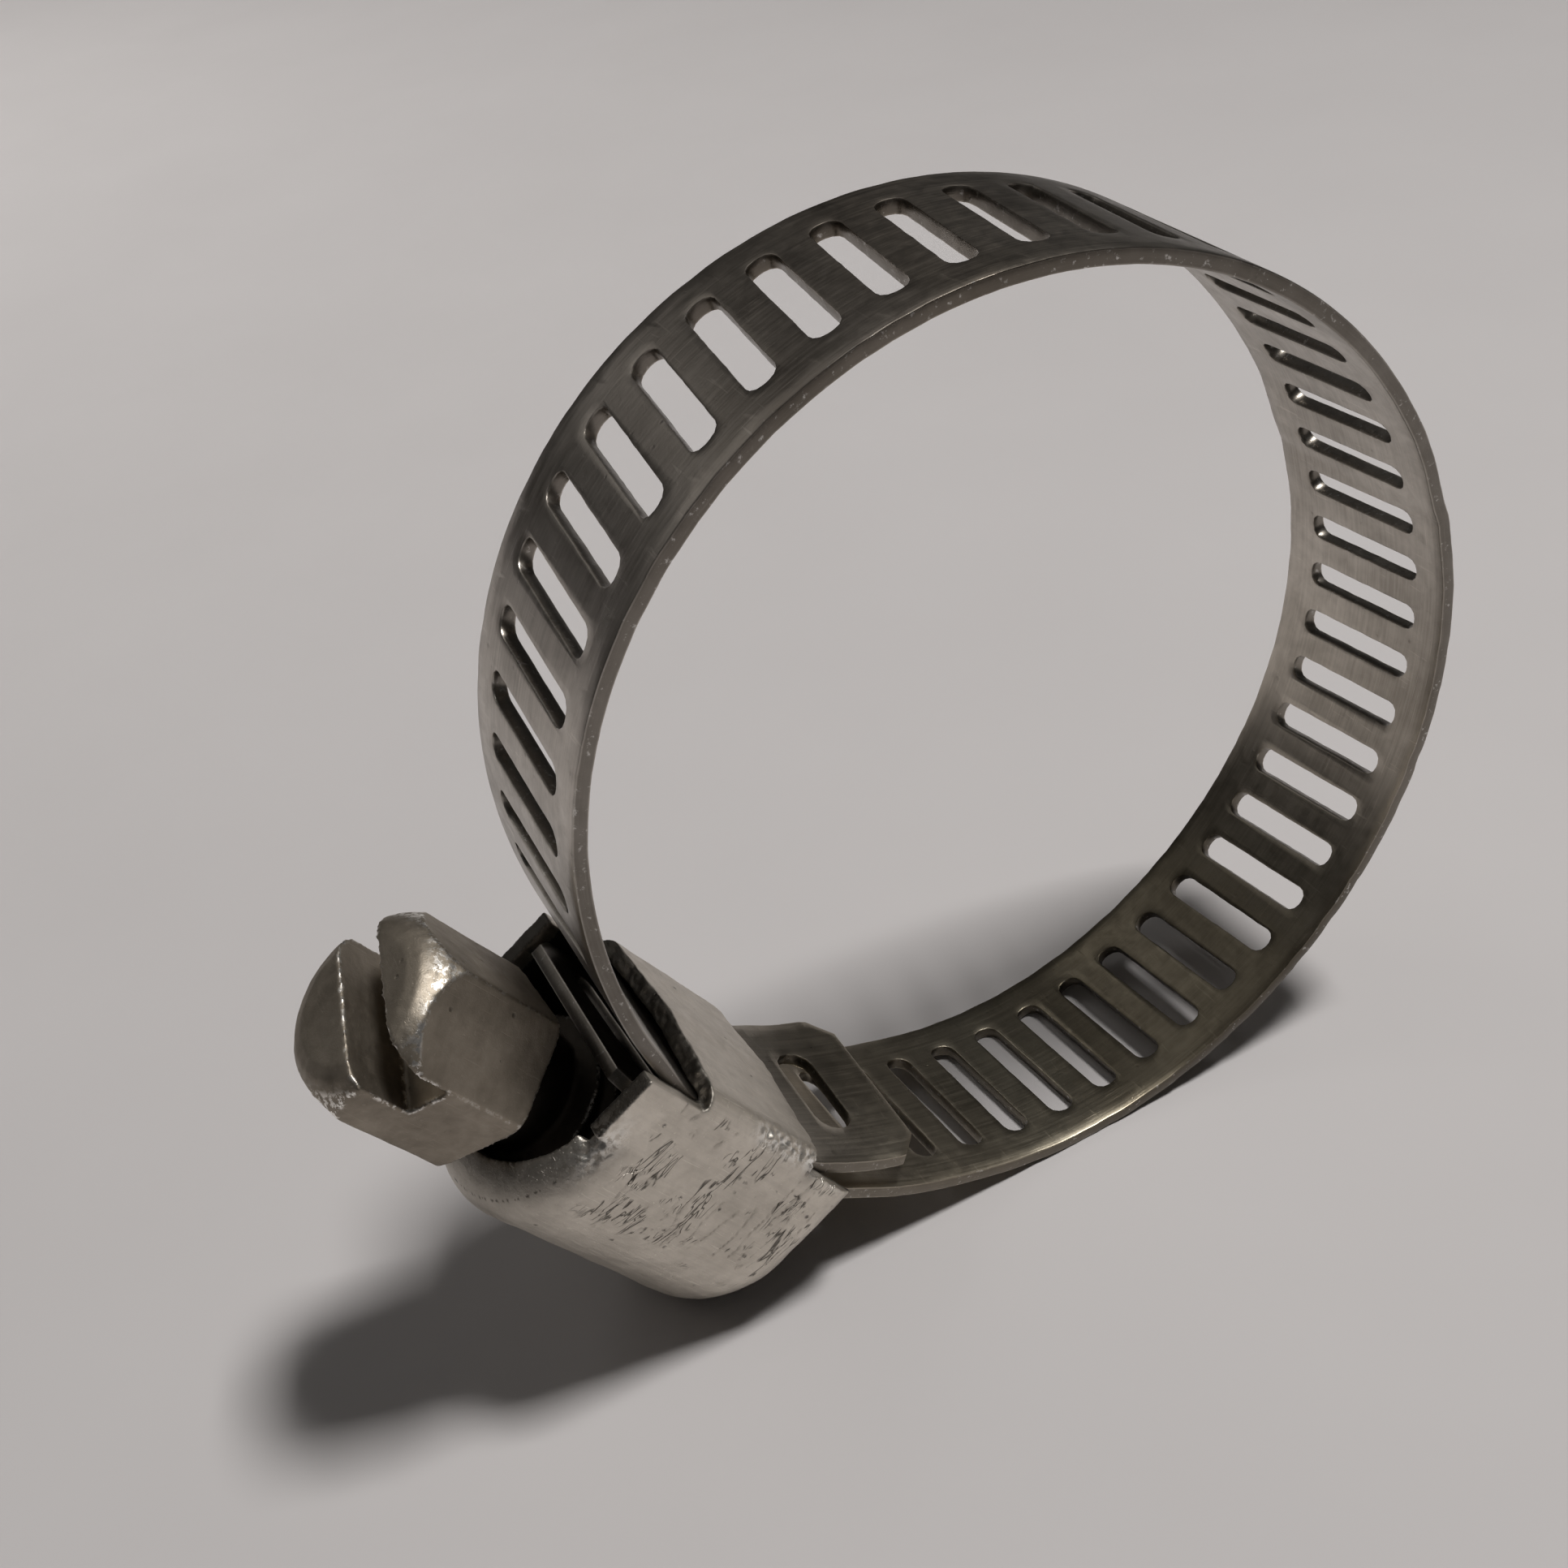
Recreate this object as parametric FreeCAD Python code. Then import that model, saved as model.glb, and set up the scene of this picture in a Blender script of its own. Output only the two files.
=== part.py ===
import FreeCAD, Part
import math, os

# Worm-drive hose clamp, 8 mm perforated band, shown wide open.
# Origin: centre of the band's loop. +Y is the axis of the loop (the axis of the hose), +Z is up
# with the clamp standing on its loop and on the nose of its housing.
# The housing, screw and straight runs of band are drawn in a local frame: x along the screw
# from its head to its tip, y across the band, z towards the centre of the loop. The whole clamp
# is then turned about Y by TILT.

# ---- driving dimensions (mm, degrees) ----
TILT = 59.5            # screw axis below horizontal
BAND_W = 8.0           # band width
BAND_T = 0.5           # band thickness
PITCH = 2.127          # slot pitch = lead of the worm
SLOT_L = 5.36          # slot length across the band
SLOT_W = 1.0           # slot width along the band
SLOT_R = 0.42          # slot corner radius
SLOT_SLOPE = -0.102    # slant of the slots: travel along the band per mm across it
LOOP_R = 16.85         # mean radius of the loop at mid thickness
# the loop is a little squashed towards the housing: cos and sin terms of 2, 3 and 4 lobes
LOBES = ((2, -0.0569, -0.0007), (3, 0.0094, -0.0029), (4, -0.0031, -0.0017))
LOBE_PHASE = 79.0
HALF = 1.0635          # first slot on either side of the loop's hinge line
FIXED_RUNS = ((4, PITCH), (6, 2.24), (13, PITCH))   # slots along the fixed run: how many, and their pitch

TAIL_Z = -16.27        # mid plane of the free end where it runs under the worm
TAIL_X0 = -5.1         # tip of the free end
BEND_X = 5.3           # where the free end starts to bend round the hose
UNDER_Z = -15.61       # mid plane of the fixed end under the tabs
TONGUE_X = 8.95        # end of the tongue
TONGUE_Z = -12.9
HOLE_X = 6.75          # oblong hole in the tongue
HOLE_L = 4.3
HOLE_W = 1.5

SHEET = 0.65           # housing sheet thickness
H_W = 9.4              # housing width over its walls
H_X0, H_X1 = -4.9, 8.15 # housing length along the screw
H_TOP = -15.40         # free top edge of the walls
H_C = -18.9            # centre of the rounded trough
NOSE_R = 2.8
LIP_R, LIP_C = 3.75, -18.1   # opening of the front
FRONT_R = 1.7          # rounding of the trough's front
LIP_Z = -17.9          # the turned-in front starts here
TAB_X0, TAB_X1 = -2.1, 4.0
TAB_TOP = -14.68
AX_Z = -19.53          # screw axis
HEX_AF = 6.0
HEAD_X0, HEAD_X1 = -11.95, -6.2
HEX_TURN = -4.0        # turn of the hexagon about the screw axis
SLOT_DRIVE_W = 1.6
SLOT_DRIVE_D = 2.45
SLOT_DRIVE_OFF = 0.35   # the slot is cut a little off centre, towards the band
SLOT_DRIVE_ANG = 17.0
NECK_R = 2.05
CORE_R = 2.85
WORM_R = 3.25
WORM_X0, WORM_X1 = -3.95, 6.3
TOOTH_TIP = 0.42
TOOTH_ROOT = 0.78
HINGE_X = 4.62         # the loop opens and closes about this line, between two slots

V = FreeCAD.Vector
os.makedirs("parts", exist_ok=True)


def loop_r(a):
    t = math.radians(a - LOBE_PHASE)
    return LOOP_R * (1.0 + sum(c * math.cos(n * t) + s * math.sin(n * t) for n, c, s in LOBES))


def loop_pt(a):
    r = loop_r(a)
    return (r * math.cos(math.radians(a)), r * math.sin(math.radians(a)))


def spline(pts, t0=None, t1=None):
    c = Part.BSplineCurve()
    if t0 is None:
        c.interpolate([V(x, 0, z) for x, z in pts])
    else:
        c.interpolate(Points=[V(x, 0, z) for x, z in pts], InitialTangent=V(t0[0], 0, t0[1]), FinalTangent=V(t1[0], 0, t1[1]))
    return c


def sample(curve, n):
    a, b = curve.FirstParameter, curve.LastParameter
    out = []
    for i in range(n + 1):
        u = a + (b - a) * i / n
        p = curve.value(u)
        d = curve.tangent(u)[0]
        out.append((p.x, p.z, d.x, d.z))
    return out


# mid lines of the band
a_hinge = 90.0
for _ in range(40):                      # angle on the loop that lies at HINGE_X
    x, z = loop_pt(a_hinge)
    a_hinge += (x - HINGE_X) * 3.0
free_pts = [(BEND_X, TAIL_Z), (6.9, -15.74), (9.75, -14.30), (11.95, -12.66)]
free_pts += [loop_pt(a) for a in (-38, -30, -22, -14, -6, 2, 10, 18, 26, 34, 42, 50, 58, 66, 72)]
free_pts.append(loop_pt(a_hinge))
free_curve = spline(free_pts, (6.0, 0.0), (-6.0, 0.6))
fixed_pts = [loop_pt(a_hinge)]
fixed_pts += [loop_pt(a) for a in (84, 92, 100, 108, 116, 124, 132, 140, 148, 156, 164, 172, 180, 188, 196, 204, 212, 220, 228, 236, 243, 250, 256)]
fixed_pts += [(-2.4, -15.60), (0.0, UNDER_Z - 0.02), (2.2, UNDER_Z - 0.02), (3.9, UNDER_Z + 0.02), (4.7, -15.42), (5.7, -15.0), (7.4, -14.04), (TONGUE_X, TONGUE_Z)]
fixed_curve = spline(fixed_pts, (-6.0, 0.6), (3.0, 2.2))
tail_curve = Part.LineSegment(V(TAIL_X0, 0, TAIL_Z), V(BEND_X, 0, TAIL_Z))


def strip(curve, n, t=BAND_T):
    if n == 1:
        p, q = curve.StartPoint, curve.EndPoint
        pts = [(p.x, p.z, 1, 0), (q.x, q.z, 1, 0)]
    else:
        pts = sample(curve, n)
    one = [(x - dz * t / 2, z + dx * t / 2) for x, z, dx, dz in pts]
    two = [(x + dz * t / 2, z - dx * t / 2) for x, z, dx, dz in pts]
    v = [V(x, -BAND_W / 2, z) for x, z in one]
    w = [V(x, -BAND_W / 2, z) for x, z in two]
    if n == 1:
        e1, e2 = Part.makeLine(v[0], v[-1]), Part.makeLine(w[0], w[-1])
    else:
        c1, c2 = Part.BSplineCurve(), Part.BSplineCurve()
        c1.interpolate(v)
        c2.interpolate(w)
        e1, e2 = c1.toShape(), c2.toShape()
    wire = Part.Wire([e1, Part.makeLine(v[-1], w[-1]), e2, Part.makeLine(w[0], v[0])])
    return Part.Face(wire).extrude(V(0, BAND_W, 0))


def arc_table(curve, n=600):
    pts = sample(curve, n)
    s = [0.0]
    for p, q in zip(pts, pts[1:]):
        s.append(s[-1] + math.hypot(q[0] - p[0], q[1] - p[1]))
    return s, pts


def at_len(table, want):
    s, pts = table
    for i in range(1, len(s)):
        if s[i] >= want:
            f = (want - s[i - 1]) / (s[i] - s[i - 1])
            return tuple(pts[i - 1][k] * (1 - f) + pts[i][k] * f for k in range(4))
    return pts[-1]


def slot_tool(x, z, tx, tz, direction, length=SLOT_L, width=SLOT_W, r=SLOT_R, slope=SLOT_SLOPE):
    # a rounded slot through the band: its long side runs across the band, slanted by slope along
    # the way that the strip's length is counted (direction is +1 or -1 against the tangent given)
    n = math.hypot(tx, tz)
    tx, tz = tx / n * direction, tz / n * direction
    k = math.sqrt(1 + slope * slope)
    d = V(tx * slope / k, 1 / k, tz * slope / k)
    t = V(tx, 0, tz)
    e = (t - d * t.dot(d))
    e.normalize()
    nrm = d.cross(e)
    c = V(x, 0, z) - nrm * 1.0
    hl, hw = length / 2, width / 2

    def P(a, b):
        return c + d * a + e * b
    q = r * (1 - math.sqrt(0.5))
    edges = []
    cs = [((hl, -hw + r), (hl, hw - r)), ((hl - r, hw), (-hl + r, hw)), ((-hl, hw - r), (-hl, -hw + r)), ((-hl + r, -hw), (hl - r, -hw))]
    mids = [(hl - q, hw - q), (-hl + q, hw - q), (-hl + q, -hw + q), (hl - q, -hw + q)]
    for i in range(4):
        a, b = cs[i]
        nx = cs[(i + 1) % 4][0]
        edges.append(Part.makeLine(P(*a), P(*b)))
        edges.append(Part.Arc(P(*b), P(*mids[i]), P(*nx)).toShape())
    return Part.Face(Part.Wire(edges)).extrude(nrm * 2.0)


# slot positions, counted along the strip from the hinge line of the loop
free_tab = arc_table(free_curve)
fixed_tab = arc_table(fixed_curve)
FREE_LEN = free_tab[0][-1]
free_s, fixed_s = [], []
s = FREE_LEN - HALF
while s > 0.75:
    free_s.append(s)
    s -= PITCH
x = BEND_X + s
while x > BEND_X - 0.8:
    x -= PITCH
tail_x = []
while x > TAIL_X0 + 1.0:
    tail_x.append(x)
    x -= PITCH
s = HALF
for count, step in FIXED_RUNS:
    for i in range(count):
        fixed_s.append(s)
        s += step

# ---- band ----
free = strip(free_curve, 60)
tools = [slot_tool(*at_len(free_tab, s), 1) for s in free_s]
free = free.cut(tools)
fixed = strip(fixed_curve, 90)
tools = [slot_tool(*at_len(fixed_tab, s), 1) for s in fixed_s]
# tongue: oblong hole and cut corners
hx = [p for p in zip(*fixed_tab) if p[0] > 40 and p[1][0] >= HOLE_X][0][1]
tools.append(slot_tool(*hx, 1, HOLE_L, HOLE_W, HOLE_W / 2 - 0.01, 0.0))
ex, ez, etx, etz = fixed_tab[1][-1]
n = math.hypot(etx, etz)
etx, etz = etx / n, etz / n
for sy in (-1, 1):
    p = [V(ex - 1.4 * etx, sy * 4.6, ez - 1.4 * etz), V(ex + 0.6 * etx, sy * 4.6, ez + 0.6 * etz), V(ex + 0.6 * etx, sy * 2.3, ez + 0.6 * etz)]
    nrm = V(-etz, 0, etx)
    f = Part.Face(Part.makePolygon([v - nrm * 1.2 for v in p + [p[0]]]))
    tools.append(f.extrude(nrm * 2.4))
fixed = fixed.cut(tools)
tail = strip(tail_curve, 1)
tools = [slot_tool(x, TAIL_Z, 1, 0, 1) for x in tail_x]
for sy in (-1, 1):
    p = [V(TAIL_X0 - 0.1, sy * 4.1, TAIL_Z - 1), V(TAIL_X0 + 0.7, sy * 4.1, TAIL_Z - 1), V(TAIL_X0 - 0.1, sy * 3.3, TAIL_Z - 1), V(TAIL_X0 - 0.1, sy * 4.1, TAIL_Z - 1)]
    tools.append(Part.Face(Part.makePolygon(p)).extrude(V(0, 0, 2)))
tail = tail.cut(tools)
# hinge gaps: the parts of the strip meet on the line of the hinge, with a hair's breadth between them
gap = Part.makeBox(0.04, 20, 4, V(BEND_X - 0.02, -10, TAIL_Z - 2))
free = free.cut(gap)
tail = tail.cut(gap)
hz = loop_pt(a_hinge)[1]
gap = Part.makeBox(0.04, 20, 4, V(HINGE_X - 0.02, -10, hz - 2))
free = free.cut(gap)
fixed = fixed.cut(gap)


# ---- housing ----
def trough(half, r, x0, x1, top, fil, front=0.0):
    a, b = V(x0, -half, top), V(x0, -half, H_C)
    c, d = V(x0, half, H_C), V(x0, half, top)
    w = Part.Wire([Part.makeLine(a, b), Part.Arc(b, V(x0, 0, H_C - r), c).toShape(), Part.makeLine(c, d), Part.makeLine(d, a)])
    body = Part.Face(w).extrude(V(x1 - x0, 0, 0))
    for xe, f in ((x1, fil), (x0, front)):
        if f:
            edges = [e for e in body.Edges if all(abs(v.X - xe) < 1e-6 for v in e.Vertexes) and not all(abs(v.Z - top) < 1e-6 for v in e.Vertexes)]
            body = body.makeFillet(f, edges)
    return body


# the bottom of the trough is drawn in at both ends, the side walls run on plain towards the band
below = Part.makeBox(30, 20, 20, V(-15, -10, LIP_Z - 20))
outer = trough(H_W / 2, H_W / 2, H_X0, H_X1, H_TOP, NOSE_R, FRONT_R).common(below)
outer = outer.fuse(trough(H_W / 2, H_W / 2, H_X0, H_X1, H_TOP, NOSE_R).cut(below))
inner = trough(H_W / 2 - SHEET, H_W / 2 - SHEET, H_X0 + SHEET, H_X1 - SHEET, H_TOP + 2, NOSE_R - SHEET, FRONT_R - SHEET).common(below)
inner = inner.fuse(trough(H_W / 2 - SHEET, H_W / 2 - SHEET, H_X0 - 2, H_X1 - SHEET, H_TOP + 2, NOSE_R - SHEET).cut(below))
housing = outer.cut(inner)
# way out for the free end over the nose
housing = housing.cut(Part.makeBox(4, H_W - 2 * SHEET, 3, V(H_X1 - 3, -(H_W / 2 - SHEET), H_TOP - 1.75)))
# the front is open towards the band: only a crescent lip is left below the screw's neck
housing = housing.cut(Part.makeCylinder(LIP_R, 3.1, V(H_X0 - 1, 0, LIP_C), V(1, 0, 0)))
housing = housing.cut(Part.makeBox(3.1, H_W - 2 * SHEET, 8, V(H_X0 - 1, -(H_W / 2 - SHEET), LIP_C - 0.3)))
# tabs folded over the fixed end of the band, one from each wall, meeting at a seam
tw = H_W / 2
for sy in (-1, 1):
    z0, z1 = H_TOP - 0.4, TAB_TOP
    ro, ri = 0.85, 0.2
    y = sy * tw
    yi = sy * (tw - SHEET)
    seam = sy * 0.03
    crown = 0.22
    p = [V(TAB_X0, y, z0), V(TAB_X0, y, z1 - ro), V(TAB_X0, y - sy * ro, z1), V(TAB_X0, seam, z1 + crown), V(TAB_X0, seam, z1 + crown - SHEET), V(TAB_X0, yi - sy * ri, z1 - SHEET), V(TAB_X0, yi, z1 - SHEET - ri), V(TAB_X0, yi, z0)]
    m = ro * (1 - math.sqrt(0.5))
    mi = ri * (1 - math.sqrt(0.5))
    w = Part.Wire([Part.makeLine(p[0], p[1]), Part.Arc(p[1], V(TAB_X0, y - sy * m, z1 - m), p[2]).toShape(), Part.makeLine(p[2], p[3]), Part.makeLine(p[3], p[4]), Part.makeLine(p[4], p[5]),
                   Part.Arc(p[5], V(TAB_X0, yi - sy * mi, z1 - SHEET - mi), p[6]).toShape(), Part.makeLine(p[6], p[7]), Part.makeLine(p[7], p[0])])
    housing = housing.fuse(Part.Face(w).extrude(V(TAB_X1 - TAB_X0, 0, 0)))
housing = housing.removeSplitter()

# ---- worm screw ----
ax = V(1, 0, 0)
hexr = HEX_AF / math.sqrt(3)
pts = []
for i in range(7):
    a = math.radians(HEX_TURN + 60 * i)
    pts.append(V(HEAD_X0, hexr * math.cos(a), AX_Z + hexr * math.sin(a)))
head = Part.Face(Part.makePolygon(pts)).extrude(V(HEAD_X1 - HEAD_X0, 0, 0))
prof = [V(HEAD_X0, 0, 0), V(HEAD_X0, 0, 2.2), V(HEAD_X0 + 0.14, 0, 2.62), V(HEAD_X0 + 0.4, 0, 2.92), V(HEAD_X0 + 0.8, 0, 3.2), V(HEAD_X0 + 1.35, 0, 3.5), V(HEAD_X1 - 0.25, 0, 3.55), V(HEAD_X1, 0, 3.25), V(HEAD_X1, 0, 0), V(HEAD_X0, 0, 0)]
cone = Part.Face(Part.makePolygon([V(p.x, 0, p.z + AX_Z) for p in prof])).revolve(V(0, 0, AX_Z), ax, 360)
head = head.common(cone)
drive = Part.makeBox(SLOT_DRIVE_D + 1, 10, SLOT_DRIVE_W, V(HEAD_X0 - 1, -5, AX_Z + SLOT_DRIVE_OFF - SLOT_DRIVE_W / 2))
drive.rotate(V(0, 0, AX_Z), ax, SLOT_DRIVE_ANG)
head = head.cut(drive)
prof = [V(HEAD_X1 - 0.5, 0, 0), V(HEAD_X1 - 0.5, 0, NECK_R), V(WORM_X0 - 0.02, 0, NECK_R), V(WORM_X0 + 0.25, 0, CORE_R), V(WORM_X1 - 0.3, 0, CORE_R), V(WORM_X1, 0, CORE_R - 0.3), V(WORM_X1, 0, 1.5), V(WORM_X1 + 0.85, 0, 1.3), V(WORM_X1 + 0.85, 0, 0), V(HEAD_X1 - 0.5, 0, 0)]
core = Part.Face(Part.makePolygon([V(p.x, 0, p.z + AX_Z) for p in prof])).revolve(V(0, 0, AX_Z), ax, 360)
# thread: right-handed, one start, in mesh with the slots of the tail
turns = 3.2
height = turns * PITCH
helix = Part.makeHelix(PITCH, height, (CORE_R + WORM_R) / 2)
rt, rr = WORM_R, CORE_R - 0.35
wr = TOOTH_ROOT + (TOOTH_ROOT - TOOTH_TIP) * 0.35 / (WORM_R - CORE_R)
tooth = Part.makePolygon([V(rr, 0, -wr / 2), V(rt, 0, -TOOTH_TIP / 2), V(rt, 0, TOOTH_TIP / 2), V(rr, 0, wr / 2), V(rr, 0, -wr / 2)])
thread = Part.Wire(helix.Edges).makePipeShell([tooth], True, True)
# the helix starts on its own +X; lay it along the screw axis, with that start facing the band at a slot
pl = FreeCAD.Placement(FreeCAD.Matrix(0, 0, 1, 0, 0, -1, 0, 0, 1, 0, 0, AX_Z, 0, 0, 0, 1))
mesh_slots = sorted(tail_x)
start = [x for x in mesh_slots][0]
while start - PITCH > WORM_X0 + 0.55:
    start -= PITCH
while start < WORM_X0 + 0.45:
    start += PITCH
pl.Base = V(start, 0, AX_Z)
thread.Placement = pl.multiply(thread.Placement)
screw = head.fuse([core]).removeSplitter()
screw = screw.fuse([thread])

nodes = {"housing": housing, "worm_screw": screw, "band_fixed_half": fixed, "band_free_half": free, "band_tail": tail}
for name, shape in nodes.items():
    shape = shape.copy()
    shape.rotate(V(0, 0, 0), V(0, 1, 0), TILT)
    shape = max(shape.Solids, key=lambda q: q.Volume)
    b = shape.BoundBox
    print(name, shape.ShapeType, "solids", len(shape.Solids), "valid", shape.isValid(), "vol %.2f" % shape.Volume, "box %.2f %.2f %.2f .. %.2f %.2f %.2f" % (b.XMin, b.YMin, b.ZMin, b.XMax, b.YMax, b.ZMax))
    shape.exportStep("parts/%s.step" % name)
c, sn = math.cos(math.radians(TILT)), math.sin(math.radians(TILT))


def world(x, z):
    return (x * c + z * sn, -x * sn + z * c)


tx_, tz_ = loop_pt(a_hinge)
print("hinge at loop angle %.3f local %.3f %.3f" % (a_hinge, tx_, tz_))
inner_z = tz_ - BAND_T / 2
print("loop hinge (inner face) world", [round(v, 4) for v in world(tx_, inner_z)])
print("tail hinge (outer face) world", [round(v, 4) for v in world(BEND_X, TAIL_Z - BAND_T / 2)])
print("lever", round(inner_z - (TAIL_Z - BAND_T / 2), 4), "ratio", PITCH / (2 * math.pi) / (inner_z - (TAIL_Z - BAND_T / 2)))
print("screw axis world dir", [round(v, 5) for v in world(1, 0)], "point", [round(v, 4) for v in world(0, AX_Z)])
print("tail slots", [round(v, 3) for v in tail_x], "thread start", round(start, 3), "free slots", len(free_s), "fixed", len(fixed_s))
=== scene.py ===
import bpy, bmesh, math
import numpy as np
from mathutils import Matrix, Vector, noise

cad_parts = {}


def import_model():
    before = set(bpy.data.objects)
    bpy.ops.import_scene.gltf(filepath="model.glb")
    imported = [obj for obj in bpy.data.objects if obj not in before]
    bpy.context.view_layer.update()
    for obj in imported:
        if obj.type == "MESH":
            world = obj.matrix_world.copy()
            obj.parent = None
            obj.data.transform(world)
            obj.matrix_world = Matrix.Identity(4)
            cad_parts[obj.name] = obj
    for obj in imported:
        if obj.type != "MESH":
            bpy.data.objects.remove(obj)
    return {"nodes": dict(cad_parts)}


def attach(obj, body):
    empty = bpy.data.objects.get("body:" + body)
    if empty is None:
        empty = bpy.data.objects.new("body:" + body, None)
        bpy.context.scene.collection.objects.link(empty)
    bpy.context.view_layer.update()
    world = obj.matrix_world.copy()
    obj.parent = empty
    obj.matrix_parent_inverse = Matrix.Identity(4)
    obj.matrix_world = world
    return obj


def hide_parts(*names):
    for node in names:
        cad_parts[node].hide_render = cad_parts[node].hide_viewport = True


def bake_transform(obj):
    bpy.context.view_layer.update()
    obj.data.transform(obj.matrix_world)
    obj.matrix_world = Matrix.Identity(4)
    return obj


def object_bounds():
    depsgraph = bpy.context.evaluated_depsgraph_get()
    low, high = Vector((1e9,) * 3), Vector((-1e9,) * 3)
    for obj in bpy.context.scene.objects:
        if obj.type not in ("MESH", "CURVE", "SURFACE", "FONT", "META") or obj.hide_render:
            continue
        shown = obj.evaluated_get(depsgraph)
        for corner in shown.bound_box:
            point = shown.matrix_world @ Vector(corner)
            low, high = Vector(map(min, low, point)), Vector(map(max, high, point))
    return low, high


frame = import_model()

cad_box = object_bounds()
MM = 0.001

# ------------------------------------------------------------------ dimensions (mm), as in the CAD source
TILT = 59.5
BAND_W, BAND_T = 8.0, 0.5
PITCH = 2.127
SLOT_L, SLOT_W, SLOT_R, SLOT_SLOPE = 5.36, 1.0, 0.42, -0.102
LOOP_R = 16.85
LOBES = ((2, -0.0569, -0.0007), (3, 0.0094, -0.0029), (4, -0.0031, -0.0017))
HALF = 1.0635
FIXED_RUNS = ((4, PITCH), (6, 2.24), (13, PITCH))
TAIL_Z, TAIL_X0, BEND_X, UNDER_Z = -16.27, -5.1, 5.3, -15.61
TONGUE_X, TONGUE_Z = 8.95, -12.9
HOLE_X, HOLE_L, HOLE_W = 6.75, 4.3, 1.5
HINGE_X = 4.62
AX_Z = -19.53
CT, ST = math.cos(math.radians(TILT)), math.sin(math.radians(TILT))


def world(x, z):
    return (x * CT + z * ST, -x * ST + z * CT)


def local(p):
    """row frame (mm) to the frame of the screw: x along it, y across the band, z to the loop's centre"""
    p = np.asarray(p)
    return np.stack([p[..., 0] * CT - p[..., 2] * ST, p[..., 1], p[..., 0] * ST + p[..., 2] * CT], -1)


def to_row(p):
    p = np.asarray(p)
    return np.stack([p[..., 0] * CT + p[..., 2] * ST, p[..., 1], -p[..., 0] * ST + p[..., 2] * CT], -1)


def loop_pt(a):
    t = math.radians(a - 79.0)
    r = LOOP_R * (1.0 + sum(c * math.cos(n * t) + s * math.sin(n * t) for n, c, s in LOBES))
    return (r * math.cos(math.radians(a)), r * math.sin(math.radians(a)))


def spline(pts, t0, t1, per=24):
    """clamped cubic through pts with chord lengths as its parameter, sampled densely"""
    p = np.array(pts, float)
    h = np.hypot(*np.diff(p, axis=0).T)
    n = len(p)
    A = np.zeros((n, n)); R = np.zeros((n, 2))
    A[0, 0] = A[-1, -1] = 1.0
    R[0] = np.array(t0) / np.hypot(*t0); R[-1] = np.array(t1) / np.hypot(*t1)
    for i in range(1, n - 1):
        A[i, i - 1], A[i, i], A[i, i + 1] = h[i], 2 * (h[i - 1] + h[i]), h[i - 1]
        R[i] = 3 * (h[i] * (p[i] - p[i - 1]) / h[i - 1] + h[i - 1] * (p[i + 1] - p[i]) / h[i])
    m = np.linalg.solve(A, R)
    out = []
    for i in range(n - 1):
        u = np.linspace(0, 1, per, endpoint=False)[:, None]
        a = 2 * u**3 - 3 * u**2 + 1; b = u**3 - 2 * u**2 + u; c = -2 * u**3 + 3 * u**2; d = u**3 - u**2
        out.append(a * p[i] + b * h[i] * m[i] + c * p[i + 1] + d * h[i] * m[i + 1])
    out.append(p[-1:])
    return np.concatenate(out)


a_h = 90.0
for _ in range(60):
    a_h += (loop_pt(a_h)[0] - HINGE_X) * 3.0
free_pts = [(BEND_X, TAIL_Z), (6.9, -15.74), (9.75, -14.30), (11.95, -12.66)]
free_pts += [loop_pt(a) for a in (-38, -30, -22, -14, -6, 2, 10, 18, 26, 34, 42, 50, 58, 66, 72)] + [loop_pt(a_h)]
fixed_pts = [loop_pt(a_h)]
fixed_pts += [loop_pt(a) for a in (84, 92, 100, 108, 116, 124, 132, 140, 148, 156, 164, 172, 180, 188, 196, 204, 212, 220, 228, 236, 243, 250, 256)]
fixed_pts += [(-2.4, -15.60), (0.0, UNDER_Z - 0.02), (2.2, UNDER_Z - 0.02), (3.9, UNDER_Z + 0.02), (4.7, -15.42), (5.7, -15.0), (7.4, -14.04), (TONGUE_X, TONGUE_Z)]
free_line = spline(free_pts, (6.0, 0.0), (-6.0, 0.6))
fixed_line = spline(fixed_pts, (-6.0, 0.6), (3.0, 2.2))
tail_line = np.stack([np.linspace(TAIL_X0, BEND_X, 60), np.full(60, TAIL_Z)], 1)


def length(a):
    return float(np.hypot(*np.diff(a, axis=0).T).sum())


FREE, FIXED = length(free_line), length(fixed_line)
LINE = np.concatenate([tail_line[:-1], free_line[:-1], fixed_line])
ARC = np.concatenate([[0], np.cumsum(np.hypot(*np.diff(LINE, axis=0).T))])
ARC = ARC - (length(tail_line) + FREE)          # 0 on the loop's hinge line
S_MIN, S_MAX = ARC[0], ARC[-1]
TAN = np.gradient(LINE, ARC, axis=0)
TAN /= np.hypot(*TAN.T)[:, None]


def at(s):
    s = np.asarray(s, float)
    p = np.stack([np.interp(s, ARC, LINE[:, 0]), np.interp(s, ARC, LINE[:, 1])], -1)
    t = np.stack([np.interp(s, ARC, TAN[:, 0]), np.interp(s, ARC, TAN[:, 1])], -1)
    over = np.where(s > S_MAX, s - S_MAX, 0) + np.where(s < S_MIN, s - S_MIN, 0)
    return p + t * over[..., None], t


# slots along the strip
slots = []
s = FREE - HALF
while s > 0.75:
    slots.append(s - FREE)
    s -= PITCH
x = BEND_X + s
while x > BEND_X - 0.8:
    x -= PITCH
while x > TAIL_X0 + 1.0:
    slots.append(-FREE - (BEND_X - x))
    x -= PITCH
s = HALF
for count, step in FIXED_RUNS:
    for i in range(count):
        slots.append(s)
        s += step
slots = sorted(slots)
i_hole = int(np.argmax((ARC > 40) & (LINE[:, 0] >= HOLE_X)))
S_HOLE = float(ARC[i_hole])

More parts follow.
